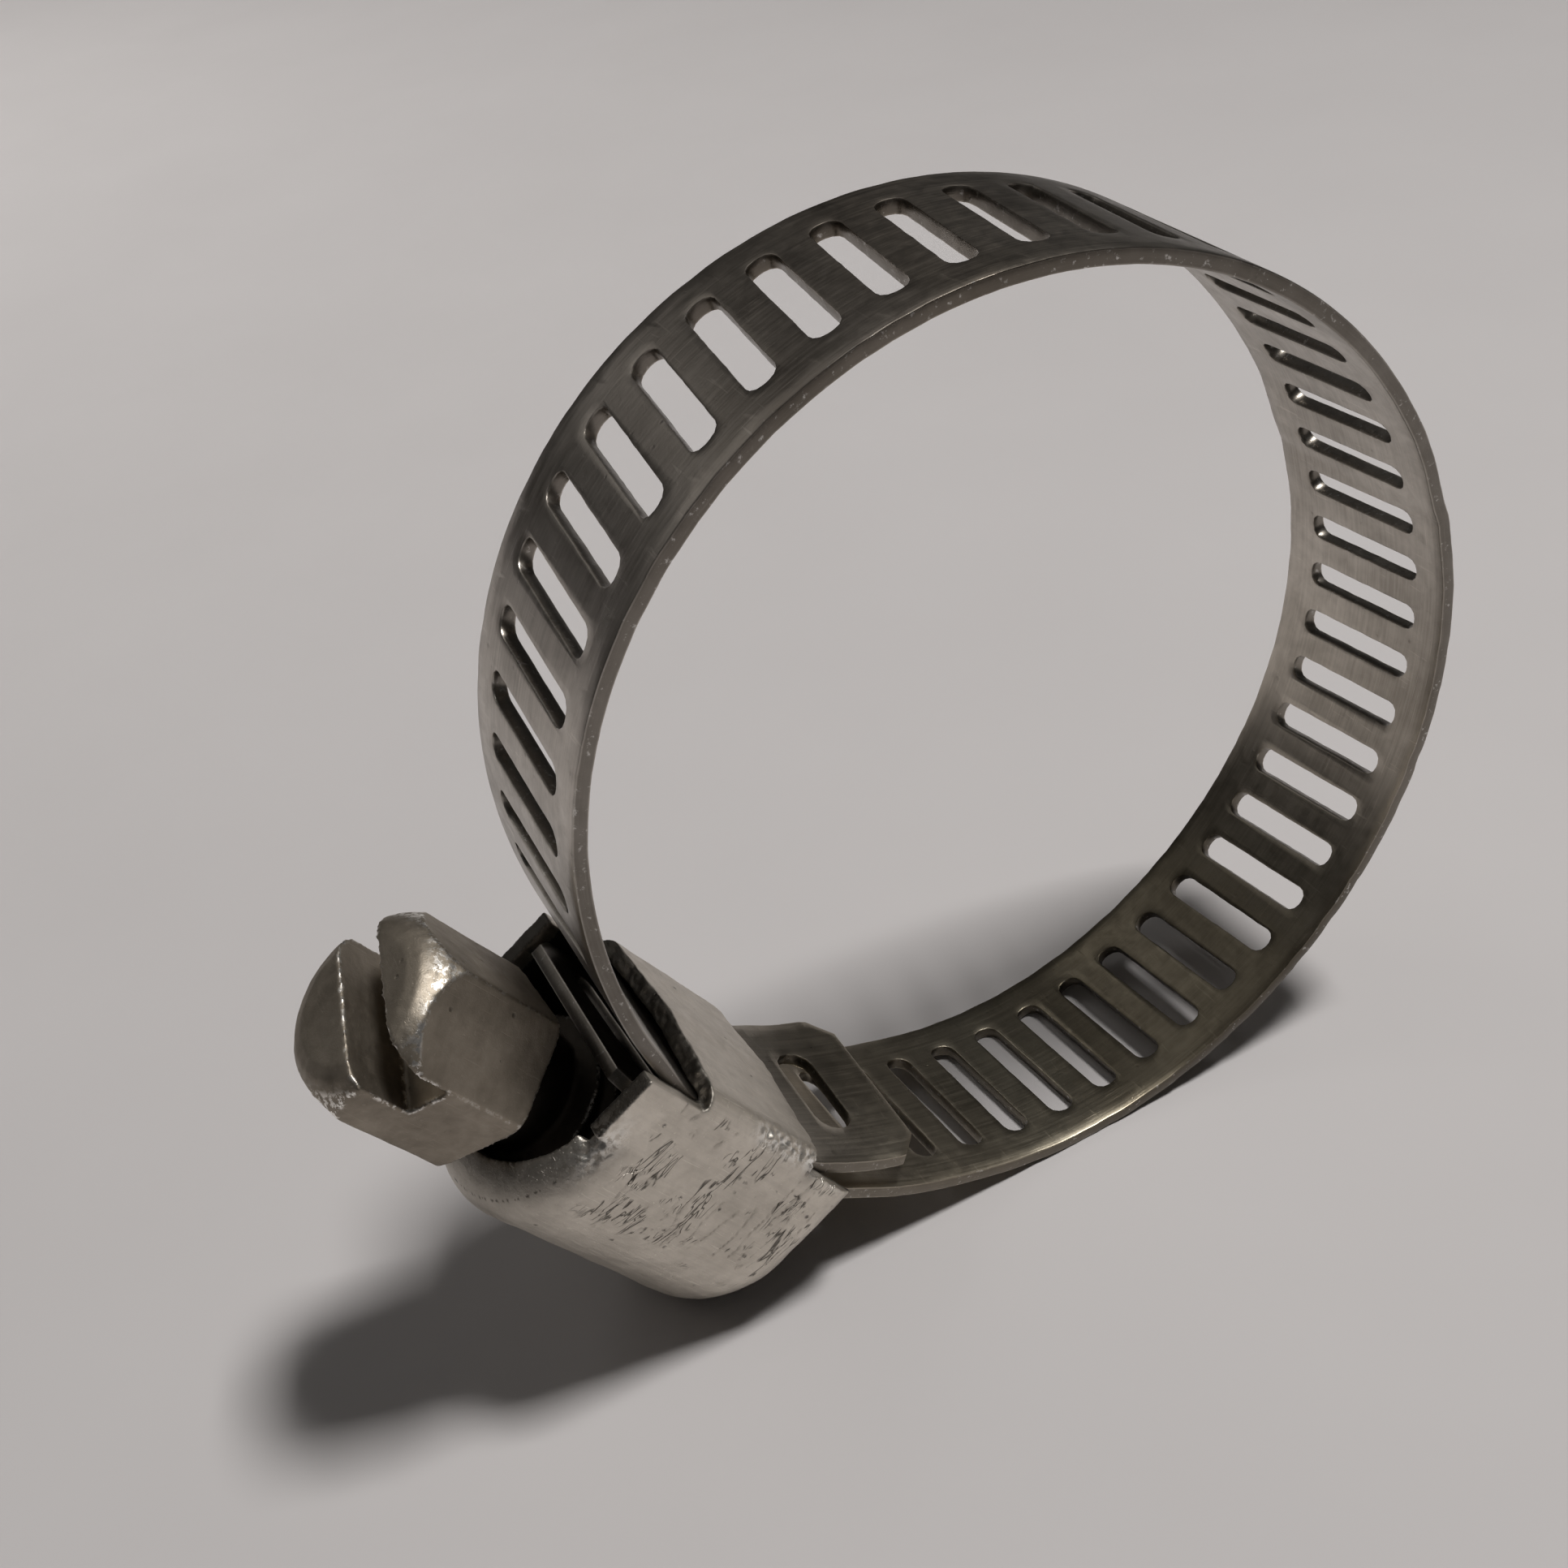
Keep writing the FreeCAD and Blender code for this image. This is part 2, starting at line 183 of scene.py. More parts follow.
# ------------------------------------------------------------------ the band
E_R = 0.055      # rounding of the strip's edges
YL = np.concatenate([[-4, -3.985, -4 + E_R], np.linspace(-4 + E_R, 4 - E_R, 17)[1:-1], [4 - E_R, 3.985, 4]])
CORE = YL[2:-2]


def drop(e):
    e = np.clip(e, 0, E_R)
    return E_R - np.sqrt(np.maximum(E_R**2 - (E_R - e)**2, 0))


def outline(hl, hw, r, slope):
    """slot outline as four runs of points: low end, right side, high end, left side (u along the strip, y across)"""
    def arc(cu, cy, a0, a1, n=3):
        return [(cu + r * math.cos(math.radians(a0 + (a1 - a0) * i / n)), cy + r * math.sin(math.radians(a0 + (a1 - a0) * i / n))) for i in range(n + 1)]
    low = arc(-hw + r, -hl + r, 180, 270) + arc(hw - r, -hl + r, 270, 360)
    high = arc(hw - r, hl - r, 0, 90) + arc(-hw + r, hl - r, 90, 180)
    ys = np.linspace(-hl + r, hl - r, len(CORE))
    right = [(hw, y) for y in ys]
    left = [(-hw, y) for y in ys[::-1]]
    runs = low[:-1] + right[:-1] + high[:-1] + left[:-1]
    runs = np.array(runs)
    nxt, prv = np.roll(runs, -1, 0), np.roll(runs, 1, 0)
    t = nxt - prv
    t /= np.hypot(*t.T)[:, None]
    n = np.stack([t[:, 1], -t[:, 0]], 1)     # away from the hole
    runs = runs + np.stack([runs[:, 1] * slope, 0 * runs[:, 1]], 1)
    return runs, n


def rag(s, y, seed):
    return noise.noise(Vector((s * 1.3 + seed, y * 1.3, seed * 0.7)))


class Strip:
    def __init__(self):
        self.key, self.co, self.face = {}, [], []

    def v(self, s, y, side, e, sd=None):
        k = (round(s, 4), round(y, 4), side)
        if k not in self.key:
            self.key[k] = len(self.co)
            self.co.append((s, y, side, e))
        return self.key[k]

    def quad(self, a, b, c, d, flip):
        f = [a, b, c, d] if not flip else [d, c, b, a]
        if len(set(f)) >= 3:
            self.face.append(list(dict.fromkeys(f)))


def ymax(s):
    if s > S_MAX - 0.878:
        return 4.0 - (s - (S_MAX - 0.878)) / 0.878 * 1.01
    if s < S_MIN + 0.7:
        return 4.0 - (S_MIN + 0.7 - s) / 0.7 * 0.6
    return 4.0


def build_strip(name, s0, s1):
    st = Strip()
    cells = []
    cuts = sorted([c for c in slots if s0 < c < s1] + ([S_HOLE] if s0 < S_HOLE < s1 else []))
    pos = s0
    for i, c in enumerate(cuts):
        hole = c == S_HOLE
        lo = c - (1.25 if hole else PITCH / 2); hi = c + (1.25 if hole else PITCH / 2)
        if i and cuts[i - 1] != S_HOLE and not hole and c - cuts[i - 1] < 2.4:
            lo = (c + cuts[i - 1]) / 2
        if i + 1 < len(cuts) and cuts[i + 1] != S_HOLE and not hole and cuts[i + 1] - c < 2.4:
            hi = (c + cuts[i + 1]) / 2
        lo, hi = max(lo, s0), min(hi, s1)
        if lo - pos > 1e-6:
            cells.append(("plain", pos, lo, None))
        else:
            lo = pos
        cells.append(("hole" if hole else "slot", lo, hi, c))
        pos = hi
    if s1 - pos > 1e-6:
        cells.append(("plain", pos, s1, None))
    for kind, lo, hi, c in cells:
        if kind == "plain":
            n = max(2, int(round((hi - lo) / 0.3)))
            ss = np.linspace(lo, hi, n + 1)
            if hi > S_MAX - 1e-6:
                ss = np.concatenate([ss[:-1], [S_MAX - E_R, S_MAX - 0.015, S_MAX]])
            if lo < S_MIN + 1e-6:
                ss = np.concatenate([[S_MIN, S_MIN + 0.015, S_MIN + E_R], ss[1:]])
            for side in (1, -1):
                for a, b in zip(ss, ss[1:]):
                    for y0, y1 in zip(YL, YL[1:]):
                        def q(s_, y_):
                            e = 4 - abs(y_)
                            if s1 >= S_MAX - 1e-6:
                                e = min(e, S_MAX - s_)
                            if s0 <= S_MIN + 1e-6:
                                e = min(e, s_ - S_MIN)
                            return st.v(s_, y_, side, e)
                        st.quad(q(a, y0), q(b, y0), q(b, y1), q(a, y1), side < 0)
            continue
        if kind == "slot":
            run, nrm = outline(SLOT_L / 2, SLOT_W / 2, SLOT_R, SLOT_SLOPE)
            for j in range(len(run)):
                w = 0.018 * rag(c * 3 + run[j, 0], run[j, 1] * 2, 5.0)
                run[j] += nrm[j] * w
        else:
            run, nrm = outline(HOLE_L / 2, HOLE_W / 2, HOLE_W / 2 - 0.01, 0.0)
        nlow = 7
        edge = [(lo + (hi - lo) * i / nlow, CORE[0]) for i in range(nlow)]
        edge += [(hi, y) for y in CORE[:-1]]
        edge += [(hi + (lo - hi) * i / nlow, CORE[-1]) for i in range(nlow)]
        edge += [(lo, y) for y in CORE[::-1][:-1]]
        edge = np.array(edge)
        run = run + [c, 0]
        rings = [(run, 0.0), (run + nrm * 0.016, 0.016), (run + nrm * E_R, E_R)]
        base = run + nrm * E_R
        for f in (0.3, 0.65):
            rings.append((base * (1 - f) + edge * f, 1.0))
        rings.append((edge, 1.0))
        m = len(run)
        for side in (1, -1):
            for (ra, ea), (rb, eb) in zip(rings, rings[1:]):
                for j in range(m):
                    k = (j + 1) % m
                    st.quad(st.v(*ra[j], side, ea), st.v(*ra[k], side, ea), st.v(*rb[k], side, eb), st.v(*rb[j], side, eb), side > 0)
            ss = [lo + (hi - lo) * i / nlow for i in range(nlow + 1)]
            for a, b in zip(ss, ss[1:]):
                for y0, y1 in list(zip(YL[:2], YL[1:3])) + list(zip(YL[-3:-1], YL[-2:])):
                    st.quad(st.v(a, y0, side, 4 - abs(y0)), st.v(b, y0, side, 4 - abs(y0)), st.v(b, y1, side, 4 - abs(y1)), st.v(a, y1, side, 4 - abs(y1)), side < 0)
        for j in range(m):       # wall of the hole
            k = (j + 1) % m
            st.quad(st.v(*run[j], 1, 0), st.v(*run[j], -1, 0), st.v(*run[k], -1, 0), st.v(*run[k], 1, 0), True)
    # walls of the rims and the ends: every edge with one face, except at the slots, is joined to the same edge of the other side
    bm = bmesh.new()
    co = st.co
    vs = []
    arr = np.array([(a, b, c_, d) for a, b, c_, d in co])
    sc = np.array([ymax(v) / 4.0 for v in arr[:, 0]])
    S = arr[:, 0]
    Y = arr[:, 1] * sc
    P, T = at(S)
    N = np.stack([-T[:, 1], T[:, 0]], 1)       # towards the loop's centre
    H = arr[:, 2] * (BAND_T / 2 - drop(arr[:, 3]))
    wav = np.array([0.012 * noise.noise(Vector((v * 0.9, 3.0, 0))) + 0.006 * noise.noise(Vector((v * 4.1, 7.0, 0))) for v in S])
    Y = Y + wav * (np.abs(arr[:, 1]) > 3.9)
    nick = np.array([0.05 * max(0.0, noise.noise(Vector((v * 1.1, 11.0 + (2.0 if y > 0 else 0.0), 0))) + 0.15 + 0.4 * noise.noise(Vector((v * 2.7, 15.0, 0)))) for v, y in zip(S, Y)])
    Y = Y - np.sign(Y) * nick * (np.abs(arr[:, 1]) > 3.9)
    X3 = np.stack([P[:, 0] + N[:, 0] * H, Y, P[:, 1] + N[:, 1] * H], 1)
    W = to_row(X3) * MM
    vs = [bm.verts.new(w) for w in W]
    for f in st.face:
        try:
            bm.faces.new([vs[i] for i in f])
        except ValueError:
            pass
    bm.verts.index_update(); bm.edges.ensure_lookup_table()
    twin = {}
    for i, (a, b, c_, d) in enumerate(co):
        twin[i] = st.key.get((round(a, 4), round(b, 4), -c_))
    open_edges = [e for e in bm.edges if len(e.link_faces) == 1]
    for e in open_edges:
        i, j = e.verts[0].index, e.verts[1].index
        if co[i][2] < 0 or co[j][2] < 0:
            continue
        ti, tj = twin[i], twin[j]
        if ti is None or tj is None:
            continue
        f = e.link_faces[0]
        lp = [l for l in f.loops if l.edge == e][0]
        a, b = lp.vert.index, lp.link_loop_next.vert.index
        try:
            bm.faces.new([vs[b], vs[a], vs[twin[a]], vs[twin[b]]])
        except ValueError:
            pass
    bmesh.ops.recalc_face_normals(bm, faces=bm.faces)
    me = bpy.data.meshes.new(name)
    bm.to_mesh(me)
    bm.free()
    strip = me.attributes.new("strip", "FLOAT_VECTOR", "POINT")
    strip.data.foreach_set("vector", np.stack([S, Y, H], 1).astype(np.float32).ravel())
    ed = me.attributes.new("rim", "FLOAT", "POINT")
    isrim = ((arr[:, 3] < 0.03) & (np.abs(arr[:, 1]) > 3.9)).astype(np.float32)
    ed.data.foreach_set("value", isrim)
    e2 = me.attributes.new("lip", "FLOAT", "POINT")
    e2.data.foreach_set("value", ((arr[:, 3] < 0.03) & (np.abs(arr[:, 1]) <= 3.9)).astype(np.float32))
    ob = bpy.data.objects.new(name, me)
    bpy.context.scene.collection.objects.link(ob)
    for p in me.polygons:
        p.use_smooth = True
    bpy.context.view_layer.objects.active = ob
    ob.select_set(True)
    bpy.ops.object.shade_smooth_by_angle(angle=math.radians(38))
    ob.select_set(False)
    return ob


# ------------------------------------------------------------------ materials
def nodes_of(name):
    m = bpy.data.materials.new(name)
    m.use_nodes = True
    nt = m.node_tree
    nt.nodes.clear()
    out = nt.nodes.new("ShaderNodeOutputMaterial")
    bsdf = nt.nodes.new("ShaderNodeBsdfPrincipled")
    nt.links.new(bsdf.outputs[0], out.inputs[0])
    return m, nt, bsdf


def N(nt, kind, **kw):
    n = nt.nodes.new(kind)
    for k, v in kw.items():
        if isinstance(k, str) and k.startswith("i_"):
            n.inputs[k[2:].replace("_", " ")].default_value = v
        else:
            setattr(n, k, v)
    return n


def ramp(nt, src, stops):
    r = nt.nodes.new("ShaderNodeValToRGB")
    els = r.color_ramp.elements
    while len(els) < len(stops):
        els.new(0.5)
    for e, (p, c) in zip(els, stops):
        e.position = p
        e.color = (*c, 1) if isinstance(c, (tuple, list)) else (c, c, c, 1)
    nt.links.new(src, r.inputs[0])
    return r.outputs[0]


def mix(nt, fac, a, b, kind="MIX"):
    m = nt.nodes.new("ShaderNodeMix")
    m.data_type = "RGBA"
    m.blend_type = kind
    for sock, val in ((m.inputs[0], fac), (m.inputs[6], a), (m.inputs[7], b)):
        if hasattr(val, "is_output"):
            nt.links.new(val, sock)
        elif isinstance(val, (tuple, list)):
            sock.default_value = (*val, 1) if len(val) == 3 else val
        else:
            sock.default_value = val
    return m.outputs[2]


def math_(nt, op, a, b=0.5, clamp=False):
    m = nt.nodes.new("ShaderNodeMath")
    m.operation = op
    m.use_clamp = clamp
    for sock, val in ((m.inputs[0], a), (m.inputs[1], b)):
        if hasattr(val, "is_output"):
            nt.links.new(val, sock)
        else:
            sock.default_value = val
    return m.outputs[0]


# tone of the band by its angle about the ring's centre (a fraction of a turn, from -180 degrees), partly stain and
# partly painted reflection and painted shade
STAIN_AND_PAINTED_LIGHT_TONES = [(0.0, (1.08, 1.08, 1.08)), (0.10, (1.0, 1.0, 1.0)), (0.175, (1.30, 1.24, 1.08)), (0.205, (1.18, 1.12, 0.96)), (0.24, (0.85, 0.82, 0.70)), (0.275, (0.44, 0.41, 0.33)),
         (0.35, (0.37, 0.345, 0.28)), (0.395, (0.80, 0.77, 0.70)), (0.43, (1.25, 1.22, 1.16)), (0.50, (1.15, 1.13, 1.10)), (0.62, (1.05, 1.04, 1.03)), (0.70, (0.75, 0.74, 0.72)), (0.77, (0.80, 0.75, 0.69)),
         (0.84, (1.05, 1.02, 1.0)), (0.93, (1.35, 1.34, 1.33)), (1.0, (1.08, 1.08, 1.08))]


def steel(name, light, dark, cracks=0.0, shade_wash=None, rough=(0.32, 0.5), strip=False, grain_dir=(0.25, 6.0, 6.0), grain=0.35, pit=0.3, scratch=0.3, edge_attr=None, edge_col=(0.85, 0.83, 0.8), bump_mm=0.012, cloud=0.35, edge_noise=2.2, edge_thr=(0.45, 0.6), edge_rough=0.2):
    m, nt, bsdf = nodes_of(name)
    L = nt.links.new
    if strip:
        a = N(nt, "ShaderNodeAttribute", attribute_name="strip")
        src = a.outputs["Vector"]
        unit = 1.0
    else:
        a = N(nt, "ShaderNodeTexCoord")
        rot = N(nt, "ShaderNodeMapping")
        rot.inputs["Scale"].default_value = (1000, 1000, 1000)
        rot.inputs["Rotation"].default_value = (0, -math.radians(TILT), 0)
        L(a.outputs["Object"], rot.inputs["Vector"])
        src = rot.outputs[0]
    def mapped(scale, off=(0, 0, 0)):
        mp = N(nt, "ShaderNodeMapping")
        mp.inputs["Scale"].default_value = scale
        mp.inputs["Location"].default_value = off
        L(src, mp.inputs["Vector"])
        return mp.outputs[0]
    def tex(scale, detail, vec, rough_=0.55, dist=0.0):
        t = N(nt, "ShaderNodeTexNoise")
        t.inputs["Scale"].default_value = scale
        t.inputs["Detail"].default_value = detail
        t.inputs["Roughness"].default_value = rough_
        t.inputs["Distortion"].default_value = dist
        L(vec, t.inputs["Vector"])
        return t.outputs["Fac"]
    big = tex(cloud, 4, mapped((1, 1, 1)))
    mid = tex(1.7, 5, mapped((1, 1, 1), (3, 1, 7)), 0.6, 0.4)
    fine = tex(1.0, 6, mapped(grain_dir, (1, 5, 2)), 0.65)
    speck = tex(14.0, 3, mapped((1, 1, 1), (9, 2, 4)), 0.7)
    col = mix(nt, ramp(nt, big, [(0.3, 0.0), (0.7, 1.0)]), dark, light)
    col = mix(nt, math_(nt, "MULTIPLY", ramp(nt, mid, [(0.35, 0.0), (0.75, 1.0)]), 0.35), col, tuple(c * 0.72 for c in dark))
    col = mix(nt, math_(nt, "MULTIPLY", ramp(nt, fine, [(0.35, 0.0), (0.65, 1.0)]), grain), col, tuple(min(1, c * 1.18) for c in light), "MIX")
    # scratches: long thin marks in two directions
    sc1 = ramp(nt, tex(1.0, 2, mapped((0.5, 13, 13), (4, 4, 4)), 0.5, 0.15), [(0.66, 0.0), (0.7, 1.0)])
    sc2 = ramp(nt, tex(1.0, 2, mapped((7, 0.6, 7), (8, 1, 3)), 0.5, 0.25), [(0.68, 0.0), (0.72, 1.0)])
    scr = math_(nt, "MAXIMUM", sc1, sc2)
    col = mix(nt, math_(nt, "MULTIPLY", scr, scratch), col, tuple(min(1, c * 1.35) for c in light))
    # pits
    vo = N(nt, "ShaderNodeTexVoronoi")
    vo.inputs["Scale"].default_value = 1.3
    L(mapped((1, 1, 1), (0.3, 0.1, 0.8)), vo.inputs["Vector"])
    pitm = math_(nt, "MULTIPLY", ramp(nt, vo.outputs["Distance"], [(0.04, 1.0), (0.13, 0.0)]), ramp(nt, mid, [(0.5, 0.0), (0.58, 1.0)]))
    col = mix(nt, math_(nt, "MULTIPLY", pitm, pit), col, (0.05, 0.045, 0.04))
    if strip:      # the steel changes tone round the ring, partly stain and partly painted reflection and shade; the cut edges of the slots and rims get painted shade
        tco = N(nt, "ShaderNodeTexCoord")
        sp = N(nt, "ShaderNodeSeparateXYZ")
        L(tco.outputs["Object"], sp.inputs[0])
        turn = math_(nt, "MULTIPLY", math_(nt, "ARCTAN2", sp.outputs[2], sp.outputs[0]), 0.5 / math.pi)
        turn = math_(nt, "ADD", math_(nt, "ADD", turn, 0.5), math_(nt, "MULTIPLY", math_(nt, "SUBTRACT", mid, 0.5), 0.035))
        stain_and_light = N(nt, "ShaderNodeValToRGB")
        els = stain_and_light.color_ramp.elements
        els[0].position, els[0].color = STAIN_AND_PAINTED_LIGHT_TONES[0][0], (*(c / 2 for c in STAIN_AND_PAINTED_LIGHT_TONES[0][1]), 1)
        els[len(els) - 1].position, els[len(els) - 1].color = STAIN_AND_PAINTED_LIGHT_TONES[-1][0], (*(c / 2 for c in STAIN_AND_PAINTED_LIGHT_TONES[-1][1]), 1)
        for p_, c_ in STAIN_AND_PAINTED_LIGHT_TONES[1:-1]:
            e_ = els.new(p_)
            e_.color = (*(c / 2 for c in c_), 1)
        L(turn, stain_and_light.inputs[0])
        col = mix(nt, 1.0, col, mix(nt, 1.0, stain_and_light.outputs[0], (2.0, 2.0, 2.0), "MULTIPLY"), "MULTIPLY")
        # painted shade: the cut edges of the slots and the rims, where the strip is thinner, are darkened
        sh = N(nt, "ShaderNodeSeparateXYZ")
        L(src, sh.inputs[0])
        thick = math_(nt, "MULTIPLY", math_(nt, "ABSOLUTE", sh.outputs[2]), 4.0)
        col = mix(nt, math_(nt, "MULTIPLY", ramp(nt, thick, [(0.70, 1.0), (0.86, 0.0)]), 0.6), col, (0.085, 0.074, 0.06))
    if shade_wash:       # named attributes that darken the steel as painted shade: (attribute, colour, amount)
        for nm, c_, amt in shade_wash:
            wa = N(nt, "ShaderNodeAttribute", attribute_name=nm).outputs["Fac"]
            col = mix(nt, math_(nt, "MULTIPLY", wa, amt), col, c_)
    crk = None
    if cracks:     # torn marks left by the press, long across the wall
        t1 = tex(1.0, 2, mapped((1.5, 0.4, 0.34), (1, 2, 3)), 0.55, 0.6)
        t2 = tex(1.0, 2, mapped((2.4, 0.5, 0.55), (7, 1, 2)), 0.55, 0.5)
        def line(t, wdt):
            d_ = math_(nt, "ABSOLUTE", math_(nt, "SUBTRACT", t, 0.5))
            return ramp(nt, d_, [(0.0, 1.0), (wdt, 0.0)])
        msk = ramp(nt, tex(0.55, 3, mapped((1, 1, 1), (5, 5, 1))), [(0.515, 0.0), (0.555, 1.0)])
        wm = N(nt, "ShaderNodeAttribute", attribute_name="wrinkle").outputs["Fac"]
        crk = math_(nt, "MULTIPLY", math_(nt, "MULTIPLY", math_(nt, "MAXIMUM", line(t1, 0.021), line(t2, 0.018)), msk), wm)
        col = mix(nt, math_(nt, "MULTIPLY", crk, cracks), col, (0.09, 0.08, 0.065))
    rgh = math_(nt, "MULTIPLY_ADD", fine, rough[1] - rough[0])
    rgh.node.inputs[2].default_value = rough[0]
    rgh = math_(nt, "ADD", rgh, math_(nt, "MULTIPLY", math_(nt, "SUBTRACT", mid, 0.5), 0.25))
    # bright edges: partly worn metal and burrs, partly painted glint
    if edge_attr:
        acc = None
        for nm, amt in edge_attr:
            e = N(nt, "ShaderNodeAttribute", attribute_name=nm).outputs["Fac"]
            e = math_(nt, "MULTIPLY", e, amt)
            acc = e if acc is None else math_(nt, "MAXIMUM", acc, e)
        br = ramp(nt, tex(edge_noise, 4, mapped((1, 1, 1), (2, 2, 9)), 0.7), [(edge_thr[0], 0.0), (edge_thr[1], 1.0)])
        em = math_(nt, "MULTIPLY", acc, br, True)
        col = mix(nt, em, col, edge_col)
        rgh = mix(nt, em, rgh, (edge_rough,) * 3)
    L(col, bsdf.inputs["Base Color"])
    L(rgh, bsdf.inputs["Roughness"])
    bsdf.inputs["Metallic"].default_value = 1.0
    hgt = math_(nt, "ADD", math_(nt, "MULTIPLY", fine, 0.5), math_(nt, "MULTIPLY", mid, 0.9))
    hgt = math_(nt, "ADD", hgt, math_(nt, "MULTIPLY", speck, 0.22))
    hgt = math_(nt, "SUBTRACT", hgt, math_(nt, "MULTIPLY", scr, 0.5 * scratch))
    hgt = math_(nt, "SUBTRACT", hgt, math_(nt, "MULTIPLY", pitm, 3.0 * pit))
    if crk is not None:
        hgt = math_(nt, "SUBTRACT", hgt, math_(nt, "MULTIPLY", crk, 1.6))
    bp = N(nt, "ShaderNodeBump")
    bp.inputs["Strength"].default_value = 1.0
    bp.inputs["Distance"].default_value = bump_mm * MM
    L(hgt, bp.inputs["Height"])
    L(bp.outputs[0], bsdf.inputs["Normal"])
    return m


# painted shade: the rim faces of the band are darkened through the rim attribute
band_mat = steel("band_steel", (0.50, 0.470, 0.432), (0.235, 0.214, 0.188), rough=(0.27, 0.42), strip=True, grain_dir=(0.22, 9.0, 9.0), grain=0.3, pit=0.3, scratch=0.25,
                 shade_wash=[("rim", (0.12, 0.105, 0.088), 0.3)], edge_attr=[("rim", 0.45), ("lip", 0.4)], bump_mm=0.008, cloud=0.16, edge_noise=3.6, edge_thr=(0.60, 0.68))
house_mat = steel("housing_steel", (0.76, 0.705, 0.625), (0.57, 0.525, 0.46), rough=(0.36, 0.56), grain=0.25, pit=0.7, scratch=0.35, cracks=0.95, edge_attr=[("fold", 1.0)], edge_col=(0.97, 0.95, 0.9), shade_wash=[("dark", (0.045, 0.04, 0.034), 0.9)], bump_mm=0.03, cloud=0.3, edge_noise=3.6, edge_thr=(0.46, 0.53), edge_rough=0.3)
screw_mat = steel("screw_steel", (0.40, 0.352, 0.29), (0.24, 0.208, 0.165), rough=(0.46, 0.62), grain_dir=(3.0, 1.2, 1.2), grain=0.25, pit=0.4, scratch=0.2, edge_attr=[("edge", 1.0), ("burr_and_glint", 1.0)], edge_col=(0.98, 0.95, 0.9), shade_wash=[("dark", (0.035, 0.03, 0.026), 0.85)], bump_mm=0.022, cloud=0.45, edge_noise=3.4, edge_thr=(0.50, 0.54), edge_rough=0.3)


# ------------------------------------------------------------------ solid pieces taken from the CAD nodes, with softened edges
def soften(node, name, voxel, rounds):
    src = frame["nodes"][node]
    me = src.data.copy()
    me.name = name
    me.transform(Matrix.Scale(1000, 4))
    ob = bpy.data.objects.new(name, me)
    bpy.context.scene.collection.objects.link(ob)
    bpy.context.view_layer.objects.active = ob
    ob.select_set(True)
    me.materials.clear()
    me.remesh_voxel_size = voxel
    me.use_remesh_fix_poles = False
    me.use_remesh_preserve_volume = False
    bpy.ops.object.voxel_remesh()
    ob.select_set(False)
    me = ob.data
    n = len(me.vertices)
    co = np.empty(n * 3); me.vertices.foreach_get("co", co); co = co.reshape(-1, 3)
    ed = np.empty(len(me.edges) * 2, dtype=np.int64); me.edges.foreach_get("vertices", ed); ed = ed.reshape(-1, 2)
    deg = np.bincount(ed.ravel(), minlength=n).astype(float)[:, None]
    first = co.copy()
    for r in range(rounds):
        for lam in (0.55, -0.48):
            acc = np.zeros_like(co)
            for k in range(3):
                acc[:, k] = np.bincount(ed[:, 0], co[ed[:, 1], k], n) + np.bincount(ed[:, 1], co[ed[:, 0], k], n)
            co = co + lam * (acc / deg - co)
    for r in range(1):
        acc = np.zeros_like(co)
        for k in range(3):
            acc[:, k] = np.bincount(ed[:, 0], co[ed[:, 1], k], n) + np.bincount(ed[:, 1], co[ed[:, 0], k], n)
        co = co + 0.5 * (acc / deg - co)
    # how sharply the surface is curved outward, for the bright edges: partly wear, partly painted glint
    acc = np.zeros_like(co)
    for k in range(3):
        acc[:, k] = np.bincount(ed[:, 0], co[ed[:, 1], k], n) + np.bincount(ed[:, 1], co[ed[:, 0], k], n)
    me.vertices.foreach_set("co", co.ravel()); me.update()
    nr = np.empty(n * 3); me.vertices.foreach_get("normal", nr); nr = nr.reshape(-1, 3)
    curv = -((acc / deg - co) * nr).sum(1) / voxel
    return ob, co, nr, ed, curv


def vnoise(p, sc, seed=0.0):
    return np.array([noise.noise(Vector((a * sc + seed, b * sc, c * sc))) for a, b, c in p])


def finish_soft(ob, co, curv, lo, hi):
    me = ob.data
    me.vertices.foreach_set("co", (co * MM).ravel())
    at_ = me.attributes.new("edge", "FLOAT", "POINT")
    at_.data.foreach_set("value", np.clip((curv - lo) / (hi - lo), 0, 1).astype(np.float32))
    for p in me.polygons:
        p.use_smooth = True
    me.update()


VOX = 0.085
house, co, nr, ed, curv = soften("housing", "housing_shell", VOX, 4)
lc = local(co)
# uneven hand of the press: gentle waves in the walls, torn edges on the tabs
amp = 0.035 * vnoise(lc, 0.55) + 0.018 * vnoise(lc, 1.6, 4.0)
co = co + nr * amp[:, None]
tab = (lc[:, 2] > -15.45)
near_end = np.clip(1 - np.minimum(np.abs(lc[:, 0] + 2.1), np.abs(lc[:, 0] - 4.0)) / 0.5, 0, 1) * tab
dx = near_end * (0.10 * vnoise(lc * [0.2, 1, 1], 1.7, 2.0) + 0.05 * vnoise(lc * [0.2, 1, 1], 5.0, 6.0))
co = co + to_row(np.stack([dx, 0 * dx, 0 * dx], 1))
